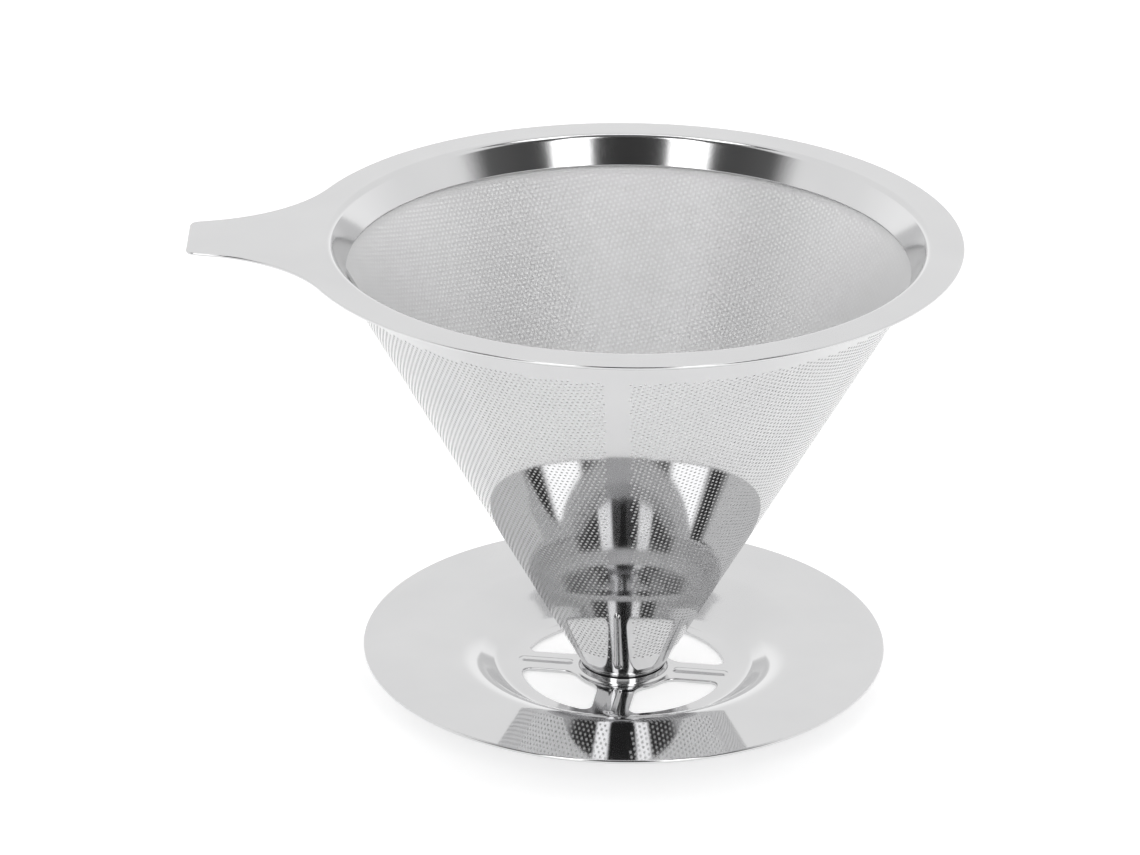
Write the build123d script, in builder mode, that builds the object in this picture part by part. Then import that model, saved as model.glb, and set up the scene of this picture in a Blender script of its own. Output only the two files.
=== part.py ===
"""Pour over dripper: a double-walled steel cone, permanently fixed to the stand that sits on a mug.

Every piece is a pressed, rolled or turned part with its own solid. +Z is up, the handle points to -X, and
the origin is on the cone's axis in the plane of the stand's lowest face, where it stands on a table.
"""
from math import cos, radians, tan
import os

from build123d import *

os.makedirs("parts", exist_ok=True)

# --- Rim: flange, handle and collar (one pressed sheet) ---------------------------------------------
rim_radius = 62.5
rim_sheet = 0.6
flange_width = 5.5         # from the outer edge to the cone's outer face, at the rim's upper face
edge_round_share = 0.44    # polished round on outer edges, as a share of the sheet
rim_bend = 1.5             # bend from flange to collar, on the upper side
collar_depth = 5.3
collar_edge_share = 0.33   # the same on the collar's lower edge
handle_length = 19.7       # from the rim's edge to the tip
handle_tip_width = 15.6
handle_taper = 12.5        # each side of the handle, in degrees
handle_tip_round = 2.0
handle_blend = 30.0        # concave blend from the handle into the flange

# --- Cone walls -------------------------------------------------------------------------------------
cone_half_angle = 29.0
cone_foot_radius = 8.0     # outside of the outer cone, where it would meet the hub's top
outer_sheet = 0.3          # perforated sheet
mesh_sheet = 0.2           # woven mesh
hem_radius = 1.1           # outside radius of the outer cone's lower edge, turned in under the cap
hem_lip = 2.6              # lip of that edge, measured inwards from the cone's foot
wall_clearance = 0.1       # from the bend under the flange to the upper edge of the cone walls

# --- Cup stand (one pressed sheet) ------------------------------------------------------------------
stand_radius = 50.5        # outer edge
stand_sheet = 0.8
recess_depth = 6.0         # how far the recess hangs into the mug
recess_wall_angle = 40.0   # recess wall, measured from the floor
recess_floor_radius = 23.8 # floor, up to where it would meet the wall
recess_foot_bend = 5.0     # bend between floor and wall, on the upper side
recess_shoulder_bend = 12.0  # bend between wall and rim, on the upper side

# --- Hub, spokes and windows of the stand -----------------------------------------------------------
hub_height = 1.3           # raised boss that carries the cone
hub_margin = 0.0           # how much wider the boss is than the cone's foot
hub_draft = 0.45           # how much wider the boss is at its foot than at its top
hub_top_bend = 0.3
hub_foot_bend = 0.6
spoke_count = 4
spoke_turn = -9.8          # first spoke, in degrees from +X
spoke_width = 7.3
window_hub_margin = 1.2    # flat ring left between the boss's foot and the windows
window_wall_margin = 4.0   # flat ring left between the windows and the recess wall
window_inner_share = 0.47  # inner corner round, as a share of the hub's foot radius
window_outer_round = 1.6
window_edge_share = 0.3    # polished round on the upper edge of each window, as a share of the sheet
bead_width = 2.6           # stiffening bead along each spoke
bead_height = 0.4
bead_draft = 30.0          # side slope of a bead, from the vertical
bead_overhang = 0.6        # how far the bead runs past the windows

# --- Closures and fastening -------------------------------------------------------------------------
cap_sheet = 0.6            # bottom cap inside the outer cone
cap_height = 3.2
cup_sheet = 0.4            # cup that closes the mesh cone
cup_height = 3.0
cup_bend = 0.8
cup_gap = 0.3              # from the cap's upper edge to the mesh cone
rivet_radius = 2.0
rivet_clearance = 0.05     # around the rivet, in both holes
rivet_head_radius = 3.4
rivet_close_radius = 3.2   # closed head inside the cap
rivet_close_height = 1.0
rivet_edge_round = 0.3

# --- Derived places ---------------------------------------------------------------------------------
slope = tan(radians(cone_half_angle))
lean = cos(radians(cone_half_angle))
floor_top = stand_sheet
stand_top = recess_depth + stand_sheet
hub_top = floor_top + hub_height
hub_underside = hub_top - stand_sheet
cone_mouth_radius = rim_radius - flange_width
cone_apex = hub_top - cone_foot_radius / slope
rim_top = cone_apex + cone_mouth_radius / slope
rim_underside = rim_top - rim_sheet
under_bend = rim_bend - rim_sheet
wall_top = rim_underside - under_bend * tan(radians(45 - cone_half_angle / 2)) * lean - wall_clearance
lip_top = hub_top + outer_sheet
cap_top = lip_top + cap_height
mesh_foot = cap_top + cup_gap
cup_top = mesh_foot + cup_height
hub_radius = cone_foot_radius + hub_margin
hub_foot_radius = hub_radius + hub_draft
rivet_hole_radius = rivet_radius + rivet_clearance
mesh_depth = outer_sheet                # the mesh lies against the inside of the outer cone
lining_depth = mesh_depth + mesh_sheet  # collar and cup lie against the inside of the mesh


def cone_radius(height, depth=0.0):
    """Radius at a height, on the surface that lies a depth inside the outer cone's outer face."""
    return (height - cone_apex) * slope - depth / lean


# --- Rim --------------------------------------------------------------------------------------------
collar_inside = lining_depth + rim_sheet
collar_foot = rim_top - collar_depth
bend_start = cone_radius(rim_top, collar_inside) + rim_bend
tip_x = -(rim_radius + handle_length)
root_x = -cone_mouth_radius
root_half_width = handle_tip_width / 2 + (root_x - tip_x) * tan(radians(handle_taper))

with BuildPart() as rim:
    with BuildSketch(Plane.XY.offset(rim_underside)) as flange_plan:
        with BuildLine():
            Polyline(
                (tip_x, -handle_tip_width / 2),
                (root_x, -root_half_width),
                (root_x, root_half_width),
                (tip_x, handle_tip_width / 2),
                close=True,
            )
        make_face()
        Circle(rim_radius)
        handle_ends = flange_plan.vertices().sort_by(Axis.X)[:2]
        fillet(handle_ends, handle_tip_round)
        handle_roots = flange_plan.vertices().filter_by_position(Axis.X, -rim_radius, -rim_radius / 2)
        fillet(handle_roots, handle_blend)
        Circle(bend_start, mode=Mode.SUBTRACT)
    extrude(amount=rim_sheet)
    flange_edges = rim.faces().filter_by(Axis.Z).edges().filter_by(lambda edge: not edge.is_closed)
    fillet(flange_edges, edge_round_share * rim_sheet)
    with BuildSketch(Plane.XZ):
        with BuildLine():
            collar_line = FilletPolyline(
                (bend_start + rim_sheet, rim_top),
                (cone_radius(rim_top, collar_inside), rim_top),
                (cone_radius(collar_foot, collar_inside), collar_foot),
                radius=rim_bend,
            )
            offset(collar_line, amount=rim_sheet, side=Side.LEFT, closed=True)
        make_face()
    revolve(axis=Axis.Z)
    collar_edges = rim.edges().filter_by(GeomType.CIRCLE).sort_by(Axis.Z)[:2]
    fillet(collar_edges, collar_edge_share * rim_sheet)
rim.part.label = "rim"

# --- Outer cone -------------------------------------------------------------------------------------
with BuildPart() as outer_cone:
    with BuildSketch(Plane.XZ):
        with BuildLine():
            wall_line = FilletPolyline(
                (cone_radius(wall_top), wall_top),
                (cone_foot_radius, hub_top),
                (cone_foot_radius - hem_lip, hub_top),
                radius=hem_radius,
            )
            offset(wall_line, amount=outer_sheet, side=Side.RIGHT, closed=True)
        make_face()
    revolve(axis=Axis.Z)
outer_cone.part.label = "outer_cone"

# --- Mesh cone --------------------------------------------------------------------------------------
with BuildPart() as mesh_cone:
    with BuildSketch(Plane.XZ):
        with BuildLine():
            Polyline(
                (cone_radius(wall_top, mesh_depth), wall_top),
                (cone_radius(mesh_foot, mesh_depth), mesh_foot),
                (cone_radius(mesh_foot, lining_depth), mesh_foot),
                (cone_radius(wall_top, lining_depth), wall_top),
                close=True,
            )
        make_face()
    revolve(axis=Axis.Z)
mesh_cone.part.label = "mesh_cone"

# --- Mesh cup: closes the mesh cone -----------------------------------------------------------------
with BuildPart() as mesh_cup:
    with BuildSketch(Plane.XZ):
        with BuildLine():
            cup_line = FilletPolyline(
                (0, mesh_foot),
                (cone_radius(mesh_foot, lining_depth), mesh_foot),
                (cone_radius(cup_top, lining_depth), cup_top),
                radius=cup_bend,
            )
            offset(cup_line, amount=cup_sheet, side=Side.LEFT, closed=True)
        make_face()
    revolve(axis=Axis.Z)
mesh_cup.part.label = "mesh_cup"

# --- Bottom cap: closes the outer cone --------------------------------------------------------------
cap_bend = hem_radius - outer_sheet

with BuildPart() as bottom_cap:
    with BuildSketch(Plane.XZ):
        with BuildLine():
            cap_line = FilletPolyline(
                (rivet_hole_radius, lip_top),
                (cone_radius(lip_top, outer_sheet), lip_top),
                (cone_radius(cap_top, outer_sheet), cap_top),
                radius=cap_bend,
            )
            offset(cap_line, amount=cap_sheet, side=Side.LEFT, closed=True)
        make_face()
    revolve(axis=Axis.Z)
bottom_cap.part.label = "bottom_cap"

# --- Cup stand --------------------------------------------------------------------------------------
wall_head = recess_floor_radius + recess_depth / tan(radians(recess_wall_angle))
window_inner_radius = hub_foot_radius + window_hub_margin
window_outer_radius = recess_floor_radius - window_wall_margin
bead_start = hub_foot_radius + hub_foot_bend / 2
bead_end = window_outer_radius + bead_overhang
bead_middle = (bead_start + bead_end) / 2
bead_length = bead_end - bead_start

with BuildPart() as cup_stand:
    with BuildSketch(Plane.XZ):
        with BuildLine():
            stand_line = FilletPolyline(
                (rivet_hole_radius, hub_top),
                (hub_radius, hub_top),
                (hub_foot_radius, floor_top),
                (recess_floor_radius, floor_top),
                (wall_head, stand_top),
                (stand_radius, stand_top),
                radius=[hub_top_bend, hub_foot_bend, recess_foot_bend, recess_shoulder_bend],
            )
            offset(stand_line, amount=stand_sheet, side=Side.RIGHT, closed=True)
        make_face()
    revolve(axis=Axis.Z)
    outer_edges = cup_stand.edges().filter_by(GeomType.CIRCLE).sort_by(SortBy.RADIUS)[-2:]
    fillet(outer_edges, edge_round_share * stand_sheet)
    with BuildSketch(Plane.XY) as windows:
        Circle(window_outer_radius)
        Circle(window_inner_radius, mode=Mode.SUBTRACT)
        with PolarLocations(stand_radius / 2, spoke_count, start_angle=spoke_turn):
            Rectangle(stand_radius, spoke_width, mode=Mode.SUBTRACT)
        inner_corners = windows.vertices().group_by(SortBy.DISTANCE)[0]
        fillet(inner_corners, window_inner_share * hub_foot_radius)
        outer_corners = windows.vertices().group_by(SortBy.DISTANCE)[-1]
        fillet(outer_corners, window_outer_round)
    extrude(amount=floor_top, mode=Mode.SUBTRACT)
    window_edges = cup_stand.edges(Select.LAST).group_by(Axis.Z)[-1]
    fillet(window_edges, window_edge_share * stand_sheet)
    with BuildSketch(Plane.XY.offset(floor_top)):
        with PolarLocations(bead_middle, spoke_count, start_angle=spoke_turn):
            SlotOverall(bead_length, bead_width)
    extrude(amount=bead_height, taper=bead_draft)
    with BuildSketch(Plane.XY):
        with PolarLocations(bead_middle, spoke_count, start_angle=spoke_turn):
            SlotOverall(bead_length - stand_sheet, bead_width - stand_sheet)
    extrude(amount=bead_height, taper=bead_draft, mode=Mode.SUBTRACT)
cup_stand.part.label = "cup_stand"

# --- Hub rivet --------------------------------------------------------------------------------------
cap_floor_top = lip_top + cap_sheet

with BuildPart() as hub_rivet:
    with BuildSketch(Plane.XY):
        Circle(rivet_head_radius)
    extrude(amount=hub_underside)
    with BuildSketch(Plane.XY.offset(hub_underside)):
        Circle(rivet_radius)
    extrude(amount=cap_floor_top - hub_underside)
    with BuildSketch(Plane.XY.offset(cap_floor_top)):
        Circle(rivet_close_radius)
    extrude(amount=rivet_close_height)
    fillet(hub_rivet.edges().sort_by(Axis.Z)[-1], rivet_edge_round)
hub_rivet.part.label = "hub_rivet"

export_step(rim.part, "parts/rim.step")
export_step(outer_cone.part, "parts/outer_cone.step")
export_step(mesh_cone.part, "parts/mesh_cone.step")
export_step(mesh_cup.part, "parts/mesh_cup.step")
export_step(bottom_cap.part, "parts/bottom_cap.step")
export_step(cup_stand.part, "parts/cup_stand.step")
export_step(hub_rivet.part, "parts/hub_rivet.step")
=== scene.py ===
import math

import bpy
import numpy as np
from mathutils import Matrix, Vector
from mathutils.geometry import delaunay_2d_cdt

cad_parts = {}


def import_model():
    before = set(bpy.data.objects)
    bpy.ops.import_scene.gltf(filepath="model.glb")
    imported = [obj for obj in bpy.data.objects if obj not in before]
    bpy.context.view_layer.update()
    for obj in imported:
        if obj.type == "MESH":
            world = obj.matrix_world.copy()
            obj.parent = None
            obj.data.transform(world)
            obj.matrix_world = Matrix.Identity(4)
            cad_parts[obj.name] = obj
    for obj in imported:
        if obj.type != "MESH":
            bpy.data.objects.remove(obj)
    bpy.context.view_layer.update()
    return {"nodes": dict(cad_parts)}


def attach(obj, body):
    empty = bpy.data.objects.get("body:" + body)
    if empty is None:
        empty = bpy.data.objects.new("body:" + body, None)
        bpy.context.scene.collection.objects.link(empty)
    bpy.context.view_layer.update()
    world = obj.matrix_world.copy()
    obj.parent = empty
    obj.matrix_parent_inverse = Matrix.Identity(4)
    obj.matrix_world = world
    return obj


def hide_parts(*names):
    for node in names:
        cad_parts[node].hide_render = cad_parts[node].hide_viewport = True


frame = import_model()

MM = 0.001
AROUND = 720

# ---------------------------------------------------------------- sizes, in mm
ALPHA = math.radians(29.0)
SIN, COS = math.sin(ALPHA), math.cos(ALPHA)
FOOT_R, MOUTH_R, HUB_TOP = 8.0, 57.0, 2.1
APEX = HUB_TOP - FOOT_R / math.tan(ALPHA)
RIM_TOP = APEX + MOUTH_R / math.tan(ALPHA)
WALL_TOP = 89.48
SHEET, MESH = 0.12, 0.3
HEM, HEM_LIP = 1.1, 2.6
SEAM_AZ = math.radians(-94.0)
PITCH, HOLE_R, HOLE_N = 1.0, 0.255, 8
WIRE_PITCH = 0.22
LATTICE_TURN = math.radians(45)
FIELD_TOP, FIELD_FOOT, BAND = 109.3, 23.3, 4.0
UV_NAME = "OFBake"
MAP_SHIFT, MAP_SIDE = np.array([118.0, 14.0]), 236.0


# ---------------------------------------------------------------- materials
def nodes_of(name):
    mat = bpy.data.materials.new(name)
    mat.use_nodes = True
    nt = mat.node_tree
    return mat, nt, nt.nodes["Principled BSDF"]


def steel(name, color, rough, grain=0.02, scale=60.0, bump=0.0, lift=0.03):
    """Polished steel: base colour and roughness drift slightly, with an optional fine grain."""
    mat, nt, bsdf = nodes_of(name)
    bsdf.inputs["Metallic"].default_value = 1.0
    coords = nt.nodes.new("ShaderNodeTexCoord")
    noise = nt.nodes.new("ShaderNodeTexNoise")
    noise.inputs["Scale"].default_value = scale
    noise.inputs["Detail"].default_value = 6.0
    nt.links.new(coords.outputs["Object"], noise.inputs["Vector"])
    ramp = nt.nodes.new("ShaderNodeValToRGB")
    ramp.color_ramp.elements[0].position = 0.3
    ramp.color_ramp.elements[1].position = 0.7
    ramp.color_ramp.elements[0].color = (color - lift, color - lift, color - lift * 0.8, 1)
    ramp.color_ramp.elements[1].color = (color, color, color + 0.004, 1)
    nt.links.new(noise.outputs["Fac"], ramp.inputs["Fac"])
    nt.links.new(ramp.outputs["Color"], bsdf.inputs["Base Color"])
    span = nt.nodes.new("ShaderNodeMapRange")
    span.inputs["To Min"].default_value = rough
    span.inputs["To Max"].default_value = rough + grain
    nt.links.new(noise.outputs["Fac"], span.inputs["Value"])
    nt.links.new(span.outputs["Result"], bsdf.inputs["Roughness"])
    if bump:
        fine = nt.nodes.new("ShaderNodeTexNoise")
        fine.inputs["Scale"].default_value = scale * 20
        fine.inputs["Detail"].default_value = 3.0
        nt.links.new(coords.outputs["Object"], fine.inputs["Vector"])
        raised = nt.nodes.new("ShaderNodeBump")
        raised.inputs["Strength"].default_value = bump
        raised.inputs["Distance"].default_value = 0.00002
        nt.links.new(fine.outputs["Fac"], raised.inputs["Height"])
        nt.links.new(raised.outputs["Normal"], bsdf.inputs["Normal"])
    return mat


RIM_MAT = steel("rim_steel", 0.68, 0.10, grain=0.03, bump=0.15)
STAND_MAT = steel("stand_steel", 0.68, 0.035, grain=0.02, bump=0.05)


def dull_recess(mat, inner, outer, extra):
    """Adds roughness inside a radius, where the sheet is drawn."""
    nt = mat.node_tree
    bsdf = nt.nodes["Principled BSDF"]
    before = bsdf.inputs["Roughness"].links[0].from_socket
    coords = nt.nodes.new("ShaderNodeTexCoord")
    flat = nt.nodes.new("ShaderNodeVectorMath")
    flat.operation = "MULTIPLY"
    flat.inputs[1].default_value = (1, 1, 0)
    nt.links.new(coords.outputs["Object"], flat.inputs[0])
    length = nt.nodes.new("ShaderNodeVectorMath")
    length.operation = "LENGTH"
    nt.links.new(flat.outputs["Vector"], length.inputs[0])
    span = nt.nodes.new("ShaderNodeMapRange")
    span.interpolation_type = "SMOOTHSTEP"
    span.inputs["From Min"].default_value = inner * MM
    span.inputs["From Max"].default_value = outer * MM
    span.inputs["To Min"].default_value = extra
    span.inputs["To Max"].default_value = 0.0
    nt.links.new(length.outputs["Value"], span.inputs["Value"])
    total = nt.nodes.new("ShaderNodeMath")
    nt.links.new(before, total.inputs[0])
    nt.links.new(span.outputs["Result"], total.inputs[1])
    nt.links.new(total.outputs["Value"], bsdf.inputs["Roughness"])


dull_recess(STAND_MAT, 31.0, 37.0, 0.05)
CONE_MAT = steel("perforated_steel", 0.66, 0.04, grain=0.02)
SMALL_MAT = steel("inner_steel", 0.6, 0.15, grain=0.05, bump=0.1)
LAP_MAT = steel("lap_steel", 0.6, 0.4, grain=0.1, bump=0.2)


def mesh_material():
    """Fine plain weave as bump. Over the sheet's holes it lets part of the light through, and its colour
    is painted paler there: painted light for the light shining through the holes.
    """
    mat, nt, bsdf = nodes_of("woven_mesh")
    bsdf.inputs["Metallic"].default_value = 0.6
    bsdf.inputs["Roughness"].default_value = 0.4
    uv = nt.nodes.new("ShaderNodeUVMap")
    uv.uv_map = "sheet_mm"
    waves = []
    for direction in ("X", "Y"):
        wave = nt.nodes.new("ShaderNodeTexWave")
        wave.wave_type = "BANDS"
        wave.bands_direction = direction
        wave.inputs["Scale"].default_value = 1 / (2 * WIRE_PITCH)
        nt.links.new(uv.outputs["UV"], wave.inputs["Vector"])
        waves.append(wave)
    both = nt.nodes.new("ShaderNodeMath")
    both.operation = "MAXIMUM"
    nt.links.new(waves[0].outputs["Fac"], both.inputs[0])
    nt.links.new(waves[1].outputs["Fac"], both.inputs[1])
    raised = nt.nodes.new("ShaderNodeBump")
    raised.inputs["Strength"].default_value = 0.25
    raised.inputs["Distance"].default_value = 0.00005
    nt.links.new(both.outputs["Value"], raised.inputs["Height"])
    nt.links.new(raised.outputs["Normal"], bsdf.inputs["Normal"])
    noise = nt.nodes.new("ShaderNodeTexNoise")
    noise.inputs["Scale"].default_value = 0.15
    noise.inputs["Detail"].default_value = 4.0
    nt.links.new(uv.outputs["UV"], noise.inputs["Vector"])
    # three crossed waves peak together over each hole
    total = None
    for k in range(3):
        across = LATTICE_TURN + math.pi / 2 + k * math.pi / 3
        size = 4 * math.pi / math.sqrt(3) / PITCH
        dot = nt.nodes.new("ShaderNodeVectorMath")
        dot.operation = "DOT_PRODUCT"
        dot.inputs[1].default_value = (size * math.cos(across), size * math.sin(across), 0)
        nt.links.new(uv.outputs["UV"], dot.inputs[0])
        ripple = nt.nodes.new("ShaderNodeMath")
        ripple.operation = "COSINE"
        nt.links.new(dot.outputs["Value"], ripple.inputs[0])
        if total is None:
            total = ripple
            continue
        added = nt.nodes.new("ShaderNodeMath")
        nt.links.new(total.outputs["Value"], added.inputs[0])
        nt.links.new(ripple.outputs["Value"], added.inputs[1])
        total = added
    over_hole = nt.nodes.new("ShaderNodeMapRange")
    over_hole.interpolation_type = "SMOOTHSTEP"
    over_hole.inputs["From Min"].default_value = 0.4
    over_hole.inputs["From Max"].default_value = 1.6
    nt.links.new(total.outputs["Value"], over_hole.inputs["Value"])
    alpha = nt.nodes.new("ShaderNodeMapRange")
    alpha.inputs["To Min"].default_value = 1.0
    alpha.inputs["To Max"].default_value = 0.85
    nt.links.new(over_hole.outputs["Result"], alpha.inputs["Value"])
    nt.links.new(alpha.outputs["Result"], bsdf.inputs["Alpha"])
    # the first tone is the plain mesh; the second, paler tone is painted light over each hole
    shades = []
    for low, high in ((0.75, 0.79), (0.92, 0.95)):
        ramp = nt.nodes.new("ShaderNodeValToRGB")
        ramp.color_ramp.elements[0].color = (low, low, low, 1)
        ramp.color_ramp.elements[1].color = (high, high, high + 0.005, 1)
        nt.links.new(noise.outputs["Fac"], ramp.inputs["Fac"])
        shades.append(ramp.outputs["Color"])
    mix = nt.nodes.new("ShaderNodeMix")
    mix.data_type = "RGBA"
    colors = [s for s in mix.inputs if s.type == "RGBA"]
    for shade, socket in zip(shades, colors):
        nt.links.new(shade, socket)
    nt.links.new(over_hole.outputs["Result"], mix.inputs["Factor"])
    nt.links.new([s for s in mix.outputs if s.type == "RGBA"][0], bsdf.inputs["Base Color"])
    return mat


MESH_MAT = mesh_material()


# ---------------------------------------------------------------- geometry helpers
def make(name, verts, faces, normals, mat, uvs=None, slot=None):
    """A mesh object from mm points, with its own normals and optional per-vertex maps {name: points}."""
    me = bpy.data.meshes.new(name)
    me.from_pydata((np.asarray(verts, float) * MM).tolist(), [], faces)
    me.update()
    corner = np.empty(len(me.loops), np.int32)
    me.loops.foreach_get("vertex_index", corner)
    for key, points in (uvs or {}).items():
        layer = me.uv_layers.new(name=key)
        layer.data.foreach_set("uv", np.asarray(points, np.float32)[corner].ravel())
    me.polygons.foreach_set("use_smooth", [True] * len(me.polygons))
    me.normals_split_custom_set_from_vertices(np.asarray(normals, np.float32).tolist())
    me.materials.append(mat)
    ob = bpy.data.objects.new(name, me)
    bpy.context.scene.collection.objects.link(ob)
    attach(ob, "root")
    return ob


def arc(center, radius, start, end, n):
    """Profile points and outward normals along a circular bend, angles in degrees."""
    t = np.radians(np.linspace(start, end, n))
    d = np.stack([np.cos(t), np.sin(t)], 1)
    return np.asarray(center) + radius * d, d


def revolve(profile, normals, n=AROUND, start=0.0):
    """Points (r, z) and their normals turned about the axis; the last column meets the first."""
    az = start + np.linspace(0, 2 * np.pi, n, endpoint=False)
    p, q = np.asarray(profile), np.asarray(normals)
    k = len(p)
    c, s = np.cos(az)[:, None], np.sin(az)[:, None]
    v = np.stack([c * p[:, 0], s * p[:, 0], np.broadcast_to(p[:, 1], (n, k))], 2).reshape(-1, 3)
    m = np.stack([c * q[:, 0], s * q[:, 0], np.broadcast_to(q[:, 1], (n, k))], 2).reshape(-1, 3)
    i = np.arange(n)[:, None]
    j = np.arange(k - 1)[None, :]
    a, b = i * k + j, ((i + 1) % n) * k + j
    faces = np.stack([a, b, b + 1, a + 1], 2).reshape(-1, 4)
    return v, faces, m


def rolled(xy, depth=0.0):
    """Points of the flat sheet, apex at the origin and +Y at the back, rolled into the cone."""
    xy = np.asarray(xy, float)
    s = np.hypot(xy[:, 0], xy[:, 1])
    az = SEAM_AZ + math.pi + np.arctan2(xy[:, 0], xy[:, 1]) / SIN
    r = s * SIN - depth * COS
    z = APEX + s * COS + depth * SIN
    v = np.stack([r * np.cos(az), r * np.sin(az), z], 1)
    n = np.stack([COS * np.cos(az), COS * np.sin(az), np.full(len(az), -SIN)], 1)
    return v, n


# ---------------------------------------------------------------- perforated outer cone
HEM_CUT = HEM / math.tan((math.pi / 2 + ALPHA) / 2)
SHEET_TOP = (WALL_TOP - APEX) / COS
SHEET_FOOT = FOOT_R / SIN + HEM_CUT
HALF_SECTOR = math.pi * SIN
CELL_CORNERS = [(1, 1), (-1, 2), (-2, 1), (-1, -1), (1, -2), (2, -1)]
CELL_SIDES = len(CELL_CORNERS)
ROW_1 = PITCH * np.array([math.cos(LATTICE_TURN), math.sin(LATTICE_TURN)])
ROW_2 = PITCH * np.array([math.cos(LATTICE_TURN + math.pi / 3), math.sin(LATTICE_TURN + math.pi / 3)])
# wider than any index a cell corner can have, so that a pair of indices packs into one number
KEY_SHIFT, KEY_SPAN = 5000, 20000


def hole_cells():
    """Lattice indices and centres, on the flat sheet, of the holes inside the perforated field."""
    reach = int(FIELD_TOP * 1.3)
    steps = np.arange(-reach, reach + 1)
    i, j = [x.ravel() for x in np.meshgrid(steps, steps, indexing="ij")]
    center = i[:, None] * ROW_1 + j[:, None] * ROW_2
    s = np.hypot(center[:, 0], center[:, 1])
    phi = np.arctan2(center[:, 0], center[:, 1])
    from_seam = s * np.sin(np.clip(HALF_SECTOR - np.abs(phi), -1.5, 1.5))
    inside = (s > FIELD_FOOT - 0.01) & (s < FIELD_TOP) & (np.abs(phi) < HALF_SECTOR)
    keep = inside & (from_seam > BAND / 2 + HOLE_R)
    return i[keep], j[keep], center[keep]


def cell_corners(i, j):
    """The cells' shared corner points, and the six corners of each cell as indices into them."""
    u = np.stack([3 * i + a for a, _ in CELL_CORNERS], 1)
    w = np.stack([3 * j + b for _, b in CELL_CORNERS], 1)
    key = (u + KEY_SHIFT).astype(np.int64) * KEY_SPAN + (w + KEY_SHIFT)
    packed, index = np.unique(key, return_inverse=True)
    u, w = packed // KEY_SPAN - KEY_SHIFT, packed % KEY_SPAN - KEY_SHIFT
    return (u[:, None] * ROW_1 + w[:, None] * ROW_2) / 3, index.reshape(len(i), CELL_SIDES)


def around_hole():
    """Order in which a cell's corners and its hole's points follow each other, and the hole's angles."""
    corner_angle = [math.degrees(math.atan2(*(((a * ROW_1 + b * ROW_2) / 3)[::-1]))) % 360
                    for a, b in CELL_CORNERS]
    first = corner_angle[0]
    corner_at = [(a - first) % 360 for a in corner_angle] + [360]
    hole_at = [k * 360 / HOLE_N for k in range(HOLE_N)]
    order = []
    p = q = 0
    while p < CELL_SIDES or q < HOLE_N:
        next_hole = (hole_at + [360])[min(q + 1, HOLE_N)]
        next_corner = corner_at[min(p + 1, CELL_SIDES)]
        from_corner = q >= HOLE_N or (p < CELL_SIDES and next_corner <= next_hole)
        order.append((from_corner, p, q))
        if from_corner:
            p += 1
        else:
            q += 1
    return order, np.radians(first + np.array(hole_at))


def field_edge(cells):
    """Corner points along the jagged edge of the perforated field, as one loop."""
    edges = np.stack([cells, np.roll(cells, -1, 1)], 2).reshape(-1, 2)
    code = np.sort(edges, 1) @ np.array([10 ** 7, 1])
    _, where, count = np.unique(code, return_index=True, return_counts=True)
    border = edges[where[count == 1]]
    follow = {int(x): int(y) for x, y in border}
    start = int(border[0, 0])
    loop = [start]
    while follow[loop[-1]] != start:
        loop.append(follow[loop[-1]])
    return loop


def plain_margin(corners, cells):
    """The sheet between its own outline and the perforated field."""
    def on(s, phi):
        return (s * math.sin(phi), s * math.cos(phi))

    half = HALF_SECTOR
    outline = [on(SHEET_TOP, t) for t in np.linspace(-half, half, 500)]
    outline += [on(x, half) for x in np.linspace(SHEET_TOP, SHEET_FOOT, 90)[1:-1]]
    outline += [on(SHEET_FOOT, t) for t in np.linspace(half, -half, 180)]
    outline += [on(x, -half) for x in np.linspace(SHEET_FOOT, SHEET_TOP, 90)[1:-1]]
    loop = field_edge(cells)
    pts = [Vector(x) for x in outline] + [Vector(corners[k]) for k in loop]
    m = len(outline)
    polys = [list(range(m)), list(range(m, m + len(loop)))]
    points, _, tris, _, _, origin = delaunay_2d_cdt(pts, [], polys, 1, 1e-7)
    return np.array([[x, y] for x, y in points]), np.array([f for f, o in zip(tris, origin) if 1 not in o])


def facing(faces, verts, norms):
    """Faces turned so that each one's own side agrees with its first corner's normal."""
    e1 = verts[faces[:, 1]] - verts[faces[:, 0]]
    e2 = verts[faces[:, -1]] - verts[faces[:, 0]]
    flip = (np.cross(e1, e2) * norms[faces[:, 0]]).sum(1) < 0
    faces[flip] = faces[flip][:, ::-1]
    return faces


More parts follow.
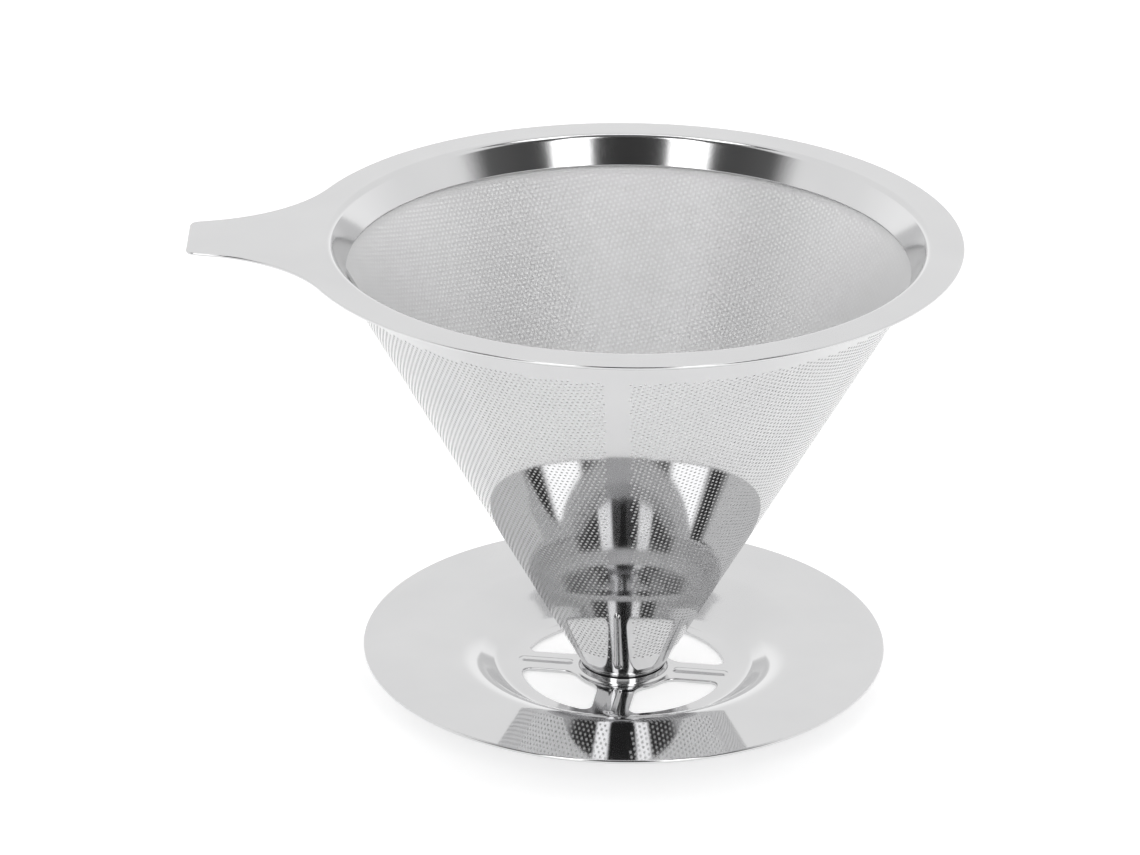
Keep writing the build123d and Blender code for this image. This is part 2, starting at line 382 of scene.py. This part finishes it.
def perforated():
    i, j, center = hole_cells()
    corners, cells = cell_corners(i, j)
    order, angle = around_hole()
    spots = np.stack([np.cos(angle), np.sin(angle)], 1)
    rims = (center[:, None, :] + HOLE_R * spots[None]).reshape(-1, 2)
    base = len(corners)
    hole = base + np.arange(len(center) * HOLE_N).reshape(-1, HOLE_N)
    tris = []
    for from_corner, p, q in order:
        corner, point = cells[:, p % CELL_SIDES], hole[:, q % HOLE_N]
        after = cells[:, (p + 1) % CELL_SIDES] if from_corner else hole[:, (q + 1) % HOLE_N]
        tris.append(np.stack([corner, after, point], 1))
    # walls of the holes
    upper = hole + len(rims)
    lower = upper + len(rims)
    walls = np.stack([upper, np.roll(upper, -1, 1), np.roll(lower, -1, 1), lower], 2).reshape(-1, 4)
    sheet_xy = np.concatenate([corners, rims])
    v1, n1 = rolled(sheet_xy)
    up, _ = rolled(rims)
    low, _ = rolled(rims, SHEET)
    around = np.repeat(center, HOLE_N, 0)
    middle, _ = rolled(around)
    inward = middle - up
    inward /= np.linalg.norm(inward, axis=1)[:, None]
    flat, plain = plain_margin(corners, cells)
    v2, n2 = rolled(flat)
    # turned-in lower edge
    bend, bend_n = arc((FOOT_R - HEM_CUT, HUB_TOP + HEM), HEM, -90, -math.degrees(ALPHA), 12)
    profile = np.concatenate([[[FOOT_R - HEM_LIP, HUB_TOP]], bend])
    hem_v, hem_f, hem_n = revolve(profile, np.concatenate([[[0, -1]], bend_n]), start=SEAM_AZ)
    verts = np.concatenate([v1, up, low, v2, hem_v])
    norms = np.concatenate([n1, inward, inward, n2, hem_n])
    before = len(v1) + 2 * len(up)
    tris = facing(np.concatenate(tris + [plain + before]), verts, norms)
    quads = facing(np.concatenate([walls, hem_f + before + len(v2)]), verts, norms)
    # one flat map for the whole sheet, in mm, brought into the unit square
    hem_phi = (np.arctan2(hem_v[:, 1], hem_v[:, 0]) - SEAM_AZ) % (2 * math.pi) - math.pi
    hem_phi = hem_phi * SIN
    hem_s = np.hypot(hem_v[:, 0], hem_v[:, 1])
    hem_xy = np.stack([hem_s * np.sin(hem_phi), hem_s * np.cos(hem_phi)], 1)
    inner_xy = around + (rims - around) * 0.5
    map_mm = np.concatenate([sheet_xy, rims, inner_xy, flat, hem_xy])
    ob = make("perforated_cone", verts, tris.tolist() + quads.tolist(), norms, CONE_MAT,
              {UV_NAME: (map_mm + MAP_SHIFT) / MAP_SIDE}, slot="perforated_steel")
    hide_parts("outer_cone")


perforated()


# ---------------------------------------------------------------- woven mesh cone
MESH_FOOT, MESH_BEHIND = 5.9, 0.02


def woven():
    """One layer just behind the sheet, cut at the front seam as the perforated sheet is."""
    columns, rows = 721, 60
    phi, s = np.meshgrid(np.linspace(-math.pi, math.pi, columns) * SIN,
                         np.linspace(MESH_FOOT - APEX, WALL_TOP - APEX, rows) / COS, indexing="ij")
    flat = np.stack([(s * np.sin(phi)).ravel(), (s * np.cos(phi)).ravel()], 1)
    v, n = rolled(flat, SHEET + MESH_BEHIND)
    i = np.arange(columns - 1)[:, None] * rows + np.arange(rows - 1)[None, :]
    f = np.stack([i, i + rows, i + rows + 1, i + 1], 2).reshape(-1, 4)
    n = -n
    side = np.cross(v[f[0, 1]] - v[f[0, 0]], v[f[0, 3]] - v[f[0, 0]])
    if side @ n[f[0, 0]] < 0:
        f = f[:, ::-1]
    ob = make("woven_cone", v, f.tolist(), n, MESH_MAT, {"sheet_mm": flat}, slot="mesh_steel")
    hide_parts("mesh_cone")


woven()


# ---------------------------------------------------------------- pressed cup stand
STAND, FLOOR = 0.8, 0.8
STAND_R, DISC_TOP, STAND_EDGE = 50.5, 6.8, 0.35
SPOKE_AZ = math.radians(-9.8)
SPOKES = 4
WINDOW_OUT, WINDOW_IN, SPOKE_HALF = 19.8, 9.7, 3.65
ROUND_OUT, ROUND_IN, EDGE, UNDER_EDGE = 1.6, 4.0, 0.28, 0.15
FOOT_BEND, SHOULDER_BEND, WALL_TILT = 5.0, 12.0, 40.0
WALL_FOOT = 23.8
HUB_FOOT, HUB_BEND, HUB_FILLET, RIVET_R = FOOT_R + 0.45, 0.25, 0.7, 2.05
BEAD_RISE, BEAD_SLOPE, BEAD_HALF = 0.32, 1.15, 1.45


def curve_arc(cx, cy, r, start, end, side, step=0.35):
    n = max(4, int(abs(math.radians(end - start)) * r / step) + 1)
    t = np.radians(np.linspace(start, end, n))
    d = np.stack([np.cos(t), np.sin(t)], 1)
    return np.array([cx, cy]) + r * d, side * d


def window_outline():
    """One window in the spoke frame: points and normals that point out of the window."""
    y = SPOKE_HALF + ROUND_OUT
    x = math.sqrt((WINDOW_OUT - ROUND_OUT) ** 2 - y * y)
    q = SPOKE_HALF + ROUND_IN
    p = math.sqrt((WINDOW_IN + ROUND_IN) ** 2 - q * q)
    a_out = math.degrees(math.atan2(y, x))
    a_in = math.degrees(math.atan2(q, p))
    runs = [curve_arc(x, y, ROUND_OUT, -90, a_out, 1),
            curve_arc(0, 0, WINDOW_OUT, a_out, 90 - a_out, 1),
            curve_arc(y, x, ROUND_OUT, 90 - a_out, 180, 1),
            curve_arc(q, p, ROUND_IN, 180, 270 - a_in, 1),
            curve_arc(0, 0, WINDOW_IN, 90 - a_in, a_in, -1),
            curve_arc(p, q, ROUND_IN, 180 + a_in, 270, 1)]
    pts = np.concatenate([r[0][:-1] if k in (0, 1, 3, 4) else r[0] for k, r in enumerate(runs)])
    nrm = np.concatenate([r[1][:-1] if k in (0, 1, 3, 4) else r[1] for k, r in enumerate(runs)])
    return pts, nrm


def slot_outline(x0, x1, half):
    n = 14
    a, na = curve_arc(x1 - half, 0, half, -90, 90, 1, half / n)
    b, nb = curve_arc(x0 + half, 0, half, 90, 270, 1, half / n)
    return np.concatenate([a, b]), np.concatenate([na, nb])


def turned(p, angle):
    c, s = math.cos(angle), math.sin(angle)
    return np.asarray(p) @ np.array([[c, s], [-s, c]])


def rings(outline, normal, steps):
    """Loops that follow an outline. steps: (distance out, height, normal's outward part, upward part)."""
    k = len(outline)
    v, n, f = [], [], []
    for d, z, no, nz in steps:
        p = outline + normal * d
        v.append(np.column_stack([p, np.full(k, z)]))
        n.append(np.column_stack([normal * no, np.full(k, nz)]))
    i = np.arange(k)
    j = (i + 1) % k
    for r in range(len(steps) - 1):
        f.append(np.stack([r * k + i, r * k + j, (r + 1) * k + j, (r + 1) * k + i], 1))
    return np.concatenate(v), np.concatenate(f), np.concatenate(n)


class Build:
    """Gathers surfaces into one mesh, turning each face to the side its normals point to."""
    def __init__(self):
        self.v, self.n, self.f, self.count = [], [], [], 0

    def add(self, v, f, n):
        v, f, n = np.asarray(v, float), np.asarray(f), np.asarray(n, float)
        n = n / np.maximum(np.linalg.norm(n, axis=1), 1e-9)[:, None]
        last = 2 if f.shape[1] == 3 else 3
        e1, e2 = v[f[:, 1]] - v[f[:, 0]], v[f[:, last]] - v[f[:, 0]]
        side = np.cross(e1, e2)
        dull = (side ** 2).sum(1) < 1e-18
        flip = (side * n[f].mean(1)).sum(1) < 0
        f = f.copy()
        f[flip] = f[flip][:, ::-1]
        f = f[~dull]
        self.f += (f + self.count).tolist()
        self.v.append(v)
        self.n.append(n)
        self.count += len(v)

    def make(self, name, mat, **more):
        return make(name, np.concatenate(self.v), self.f, np.concatenate(self.n), mat, **more)


def circle(r, n):
    t = np.linspace(0, 2 * np.pi, n, endpoint=False)
    return np.stack([r * np.cos(t), r * np.sin(t)], 1)


def flat_region(outer, holes, z, up):
    """A plane area inside one loop and outside the others."""
    pts, polys = [Vector(p) for p in outer], [list(range(len(outer)))]
    for h in holes:
        polys.append(list(range(len(pts), len(pts) + len(h))))
        pts += [Vector(p) for p in h]
    cv, _, cf, _, _, src = delaunay_2d_cdt(pts, [], polys, 1, 1e-7)
    v = np.array([[x, y, z] for x, y in cv])
    f = np.array([t for t, o in zip(cf, src) if o == [0] or set(o) == {0}])
    return v, f, np.tile([0, 0, up], (len(v), 1))


def sheet_section():
    """Recess wall, ring and outer edge, then back along the underside."""
    tilt = math.radians(WALL_TILT)
    foot_r = WALL_FOOT - FOOT_BEND * math.tan(tilt / 2)
    head = WALL_FOOT + (DISC_TOP - FLOOR) / math.tan(tilt)
    shoulder_r = head + SHOULDER_BEND * math.tan(tilt / 2)
    foot = (foot_r, FLOOR + FOOT_BEND)
    shoulder = (shoulder_r, DISC_TOP - SHOULDER_BEND)
    er = STAND_EDGE
    f1, d1 = arc(foot, FOOT_BEND, -90, -90 + WALL_TILT, 14)
    s1, e1 = arc(shoulder, SHOULDER_BEND, 90 + WALL_TILT, 90, 18)
    t1, g1 = arc((STAND_R - er, DISC_TOP - er), er, 90, 0, 7)
    t2, g2 = arc((STAND_R - er, DISC_TOP - STAND + er), er, 0, -90, 7)
    s2, e2 = arc(shoulder, SHOULDER_BEND - STAND, 90, 90 + WALL_TILT, 18)
    f2, d2 = arc(foot, FOOT_BEND + STAND, -90 + WALL_TILT, -90, 14)
    return foot_r, np.concatenate([f1, s1, t1, t2, s2, f2]), np.concatenate([-d1, e1, g1, g2, -e2, d2])


def hub_sections():
    """The hub boss's top and underside, each with its normals, and the radius where the boss ends."""
    lean = math.degrees(math.atan2(HUB_FOOT - FOOT_R, HUB_TOP - FLOOR))
    bend, bend_n = arc((FOOT_R - HUB_BEND, HUB_TOP - HUB_BEND), HUB_BEND, 90, lean, 8)
    foot, foot_n = arc((HUB_FOOT + HUB_FILLET * 0.92, FLOOR + HUB_FILLET), HUB_FILLET, 180 + lean, 270, 8)
    edge = foot[-1][0]
    top = np.concatenate([[[RIVET_R, HUB_TOP]], bend, foot])
    top_n = np.concatenate([[[0, 1]], bend_n, -foot_n])
    ceiling = HUB_TOP - STAND
    inner = FOOT_R - STAND
    low = np.array([[RIVET_R, ceiling], [inner - 0.1, ceiling], [inner + 0.1, ceiling - 0.15],
                    [HUB_FOOT - 0.5, 0.15], [HUB_FOOT - 0.3, 0.0], [edge, 0.0]])
    low_n = [[0, -1], [-.1, -1], [-1, -.5], [-1, -.5], [-.1, -1], [0, -1]]
    return edge, (top, top_n), (low, low_n)


def window_edges():
    """Steps of the rounded window edge for rings(), on the underside and on the upper side."""
    quarter = np.radians(np.linspace(0, 90, 7))
    over = [(EDGE * (1 - math.cos(a)), FLOOR - EDGE * (1 - math.sin(a)), -math.cos(a), math.sin(a))
            for a in quarter]
    under = [(UNDER_EDGE * (1 - math.sin(a)), UNDER_EDGE * (1 - math.cos(a)), -math.sin(a), -math.cos(a))
             for a in quarter]
    return under, over


def bead_steps(base, up):
    """Steps down the flank of a bead, from its foot to its flat crown."""
    steps = []
    for t in np.linspace(0, 1, 9):
        h = BEAD_RISE * (0.5 - 0.5 * math.cos(math.pi * t))
        slope = BEAD_RISE * 0.5 * math.pi * math.sin(math.pi * t) / BEAD_SLOPE
        steps.append((-BEAD_SLOPE * t, base + h, up * slope, up))
    return steps


def stand():
    b = Build()
    foot_r, profile, normals = sheet_section()
    b.add(*revolve(profile, normals))
    hub_edge, top, low = hub_sections()
    b.add(*revolve(*top))
    b.add(*revolve(*low))
    turns = [SPOKE_AZ + k * math.pi / 2 for k in range(SPOKES)]
    holes_up, holes_low = [], []
    outline, normal = window_outline()
    under, over = window_edges()
    for turn in turns:
        o, n = turned(outline, turn), turned(normal, turn)
        b.add(*rings(o, n, under + over))
        holes_up.append(o + n * over[-1][0])
        holes_low.append(o + n * under[0][0])
    # stiffening beads along the spokes
    outline, normal = slot_outline(hub_edge + 0.35, WINDOW_OUT + 1.1, BEAD_HALF)
    for turn in turns:
        o, n = turned(outline, turn), turned(normal, turn)
        for base, up in ((FLOOR, 1), (0.0, -1)):
            b.add(*rings(o, n, bead_steps(base, up)))
            b.add(*flat_region(o - n * BEAD_SLOPE, [], base + BEAD_RISE, up))
        holes_up.append(o)
        holes_low.append(o)
    hub = circle(hub_edge, AROUND)
    b.add(*flat_region(circle(foot_r, AROUND), [hub] + holes_up, FLOOR, 1))
    b.add(*flat_region(circle(foot_r, AROUND), [hub] + holes_low, 0.0, -1))
    ob = b.make("pressed_stand", STAND_MAT, slot="polished_steel")
    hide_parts("cup_stand")


stand()


# ---------------------------------------------------------------- pressed rim with its handle
RIM_R, RIM_SHEET, RIM_BEND, RIM_EDGE = 62.5, 0.6, 1.5, 0.28
TIP_X, TIP_HALF, TIP_ROUND, BLEND = -82.2, 7.8, 2.0, 30.0
TAPER = math.radians(12.5)
COLLAR, COLLAR_DEPTH = 5.3, 0.5


def rim_outline():
    """The rim's outer edge, counterclockwise, with the normals that point out of the sheet."""
    along = np.array([math.cos(TAPER), math.sin(TAPER)])
    out = np.array([-along[1], along[0]])
    tip = np.array([TIP_X, TIP_HALF])
    # centre of the blend: it touches both the handle's side and the round flange
    q = tip + BLEND * out
    h = q @ along
    t = -h - math.sqrt(h * h - (q @ q - (RIM_R + BLEND) ** 2))
    center = q + t * along
    side_end = tip + t * along
    meet = math.degrees(math.atan2(center[1], center[0]))
    toward = math.degrees(math.atan2(*(side_end - center)[::-1]))
    blend = curve_arc(center[0], center[1], BLEND, meet - 180, toward, -1)
    cx = TIP_X + TIP_ROUND
    cy = TIP_HALF + (-TIP_ROUND - (cx - TIP_X) * out[0]) / out[1]
    corner = curve_arc(cx, cy, TIP_ROUND, math.degrees(math.atan2(out[1], out[0])), 180, 1, 0.15)
    line = side_end + np.linspace(0, 1, 12)[1:-1, None] * (corner[0][0] - side_end)
    side = (line, np.tile(out, (len(line), 1)))
    pts = np.concatenate([r[0] for r in (blend, side, corner)])
    nrm = np.concatenate([r[1] for r in (blend, side, corner)])
    body = curve_arc(0, 0, RIM_R, -meet, meet, 1, 0.5)
    low, low_n = pts[::-1] * [1, -1], nrm[::-1] * [1, -1]
    return np.concatenate([body[0][:-1], pts, low[:-1]]), np.concatenate([body[1][:-1], nrm, low_n[:-1]])


def rim():
    b = Build()
    o, n = rim_outline()
    er = RIM_EDGE
    over = [(-er * (1 - math.cos(a)), RIM_TOP - er * (1 - math.sin(a)), math.cos(a), math.sin(a))
            for a in np.radians(np.linspace(0, 90, 9))]
    low = RIM_TOP - RIM_SHEET
    under = [(-er * (1 - math.cos(a)), low + er * (1 - math.sin(a)), math.cos(a), -math.sin(a))
             for a in np.radians(np.linspace(90, 0, 9))]
    b.add(*rings(o, n, under + over))
    depth = COLLAR_DEPTH + RIM_SHEET
    inner = MOUTH_R - depth / COS
    bend_r = inner + (RIM_BEND - RIM_BEND * SIN) / COS
    z_c = RIM_TOP - RIM_BEND
    wall = 180 - math.degrees(ALPHA)
    edge = o + n * (-er)
    b.add(*flat_region(edge, [circle(bend_r, AROUND)], RIM_TOP, 1))
    b.add(*flat_region(edge, [circle(bend_r, AROUND)], low, -1))
    roll, rn = arc((bend_r, z_c), RIM_BEND, 90, wall, 12)
    z_e = RIM_TOP - COLLAR
    r_e = (z_e - APEX) * math.tan(ALPHA) - depth / COS
    half = RIM_SHEET / 2
    lip, ln = arc((r_e + half * COS, z_e - half * SIN), half, wall, wall + 180, 12)
    under_roll, un = arc((bend_r, z_c), RIM_BEND - RIM_SHEET, wall, 90, 8)
    b.add(*revolve(np.concatenate([roll, lip, under_roll]), np.concatenate([rn, ln, -un])))
    ob = b.make("pressed_rim", RIM_MAT, slot="polished_steel")
    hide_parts("rim")


rim()


def painted_gap_shadow():
    """Painted shade: a thin near-black ring that stands for the shadowed gap under the cone's turned-in
    edge.
    """
    mat, nt, bsdf = nodes_of("gap_shadow_black")
    # the near-black colour is painted shade for the gap, not a weld or oxide
    bsdf.inputs["Base Color"].default_value = (0.012, 0.012, 0.013, 1)
    bsdf.inputs["Roughness"].default_value = 0.8
    bsdf.inputs["Specular IOR Level"].default_value = 0.1
    prof, nrm = arc((7.5, HUB_TOP + 0.02), 0.66, -2, 100, 10)
    b = Build()
    b.add(*revolve(prof, nrm, 360))
    b.make("painted_gap_shadow", mat, slot="polished_steel")


painted_gap_shadow()


def mesh_seam():
    """Lap of the woven mesh on the handle's side, held a hair off the sheet."""
    width, depth = 1.6, SHEET + MESH + 0.06
    s = np.linspace(24.0, 111.0, 60)
    rows = []
    for x in (-width / 2, width / 2):
        az = math.pi + x / (s * SIN)
        r = s * SIN - depth * COS
        rows.append(np.stack([r * np.cos(az), r * np.sin(az), APEX + s * COS + depth * SIN], 1))
    v = np.concatenate(rows)
    k = len(s)
    i = np.arange(k - 1)
    b = Build()
    b.add(v, np.stack([i, i + 1, i + 1 + k, i + k], 1), np.tile([COS, 0, SIN], (len(v), 1)))
    b.make("mesh_lap", LAP_MAT, slot="mesh_steel")


mesh_seam()

for node in ("mesh_cup", "bottom_cap", "hub_rivet"):
    ob = frame["nodes"][node]
    ob.data.materials.clear()
    ob.data.materials.append(SMALL_MAT)


# ---------------------------------------------------------------- floor, light and camera
def stage_floor():
    me = bpy.data.meshes.new("floor")
    ring = [(4 * math.cos(t), 4 * math.sin(t), 0.0) for t in np.linspace(0, 2 * math.pi, 65)[:-1]]
    me.from_pydata(ring, [], [list(range(64))])
    mat, nt, bsdf = nodes_of("floor_white")
    bsdf.inputs["Base Color"].default_value = (0.9, 0.9, 0.9, 1)
    bsdf.inputs["Roughness"].default_value = 1.0
    bsdf.inputs["Specular IOR Level"].default_value = 0.0
    bsdf.inputs["Emission Color"].default_value = (1, 1, 1, 1)
    bsdf.inputs["Emission Strength"].default_value = 0.42
    me.materials.append(mat)
    ob = bpy.data.objects.new("floor", me)
    bpy.context.scene.collection.objects.link(ob)


stage_floor()

# camera, in degrees and mm
CAM_AZ, CAM_OUT, CAM_ABOVE_RIM = -92.1, 767.75, 299.48
CAM_HEADING, CAM_PITCH, CAM_ROLL = 88.70, 23.796, 0.43
CAM_LENS, CAM_SENSOR = 139.36, 36.0
# brightness by azimuth from the camera, in degrees: white all round, dark ahead with two tall soft boxes
WALLS = [(-180, 1.0), (-75, 1.0), (-64, 0.12), (-36, 0.05), (-33, 2.8), (-19, 2.8), (-16, 0.04),
         (16, 0.04), (19, 2.6), (33, 2.6), (36, 0.05), (64, 0.12), (75, 1.0), (180, 1.0)]
SIDE_BOXES = [(-180, 2.3), (-72, 2.3), (-66, 0.2), (66, 0.2), (72, 2.3), (180, 2.3)]
HORIZON, GAP, ZENITH = 1.15, 0.06, 0.12
# elevations, in degrees, where the walls, the dark gap, the side boxes and the zenith take over
WALL_FROM, GAP_FROM, BOX_FROM, ZENITH_FROM = (9, 18), (61.2, 63.8), (67.2, 68.6), (77, 79.5)


def world():
    """A white room with a dark gap towards the viewer, cut by tall soft boxes."""
    w = bpy.data.worlds.new("studio")
    w.use_nodes = True
    bpy.context.scene.world = w
    nt = w.node_tree

    def math_node(operation, *sources):
        node = nt.nodes.new("ShaderNodeMath")
        node.operation = operation
        for source, socket in zip(sources, node.inputs):
            nt.links.new(source, socket)
        return node.outputs["Value"]

    def spread(angle, limit):
        node = nt.nodes.new("ShaderNodeMapRange")
        node.inputs["From Min"].default_value = -limit
        node.inputs["From Max"].default_value = limit
        nt.links.new(angle, node.inputs["Value"])
        return node.outputs["Result"]

    def ramp(fac, stops, limit):
        """A grey ramp over an angle from -limit to limit degrees."""
        node = nt.nodes.new("ShaderNodeValToRGB")
        elements = node.color_ramp.elements
        while len(elements) < len(stops):
            elements.new(0.5)
        for element, (at, _) in zip(elements, stops):
            element.position = (at + limit) / (2 * limit)
        for element, (_, value) in zip(elements, stops):
            element.color = (value, value, value, 1)
        nt.links.new(fac, node.inputs["Fac"])
        return node.outputs["Color"]

    def blend(fac, below, above):
        mix = nt.nodes.new("ShaderNodeMix")
        mix.data_type = "RGBA"
        for socket, value in zip([x for x in mix.inputs if x.type == "RGBA"], (below, above)):
            if isinstance(value, float):
                socket.default_value = (value, value, value, 1)
            else:
                nt.links.new(value, socket)
        nt.links.new(fac, mix.inputs["Factor"])
        return [x for x in mix.outputs if x.type == "RGBA"][0]

    def over(step, below, above):
        """Below an elevation one value or colour, above it another."""
        return blend(ramp(rise, [(-90, 0), (step[0], 0), (step[1], 1), (90, 1)], 90), below, above)

    coords = nt.nodes.new("ShaderNodeTexCoord")
    turn = nt.nodes.new("ShaderNodeVectorRotate")
    turn.rotation_type = "Z_AXIS"
    turn.inputs["Angle"].default_value = -math.radians(CAM_AZ)
    nt.links.new(coords.outputs["Generated"], turn.inputs["Vector"])
    parts = nt.nodes.new("ShaderNodeSeparateXYZ")
    nt.links.new(turn.outputs["Vector"], parts.inputs["Vector"])
    around = spread(math_node("ARCTAN2", parts.outputs["Y"], parts.outputs["X"]), math.pi)
    rise = spread(math_node("ARCSINE", parts.outputs["Z"]), math.pi / 2)
    walls = over(WALL_FROM, HORIZON, ramp(around, WALLS, 180))
    room = over(BOX_FROM, over(GAP_FROM, walls, GAP), ramp(around, SIDE_BOXES, 180))
    background = nt.nodes["Background"]
    nt.links.new(over(ZENITH_FROM, room, ZENITH), background.inputs["Color"])
    background.inputs["Strength"].default_value = 1.0


world()


def camera():
    yaw, pitch, roll = math.radians(90 - CAM_HEADING), math.radians(CAM_PITCH), math.radians(CAM_ROLL)
    forward = Vector((math.sin(yaw) * math.cos(pitch), math.cos(yaw) * math.cos(pitch), -math.sin(pitch)))
    level = Vector((math.cos(yaw), -math.sin(yaw), 0))
    upright = level.cross(forward)
    right = math.cos(roll) * level + math.sin(roll) * upright
    up = -math.sin(roll) * level + math.cos(roll) * upright
    m = Matrix.Identity(4)
    for k in range(3):
        m[k][0], m[k][1], m[k][2] = right[k], up[k], -forward[k]
    az = math.radians(CAM_AZ)
    m.translation = Vector((CAM_OUT * math.cos(az), CAM_OUT * math.sin(az), RIM_TOP + CAM_ABOVE_RIM)) * MM
    cam = bpy.data.cameras.new("camera")
    cam.lens = CAM_LENS
    cam.sensor_width = CAM_SENSOR
    cam.clip_start = 0.01
    ob = bpy.data.objects.new("camera", cam)
    ob.matrix_world = m
    bpy.context.scene.collection.objects.link(ob)
    bpy.context.scene.camera = ob


camera()
scene = bpy.context.scene
scene.view_settings.view_transform = "Standard"
scene.cycles.max_bounces = 24
scene.cycles.glossy_bounces = 16
scene.cycles.transparent_max_bounces = 24
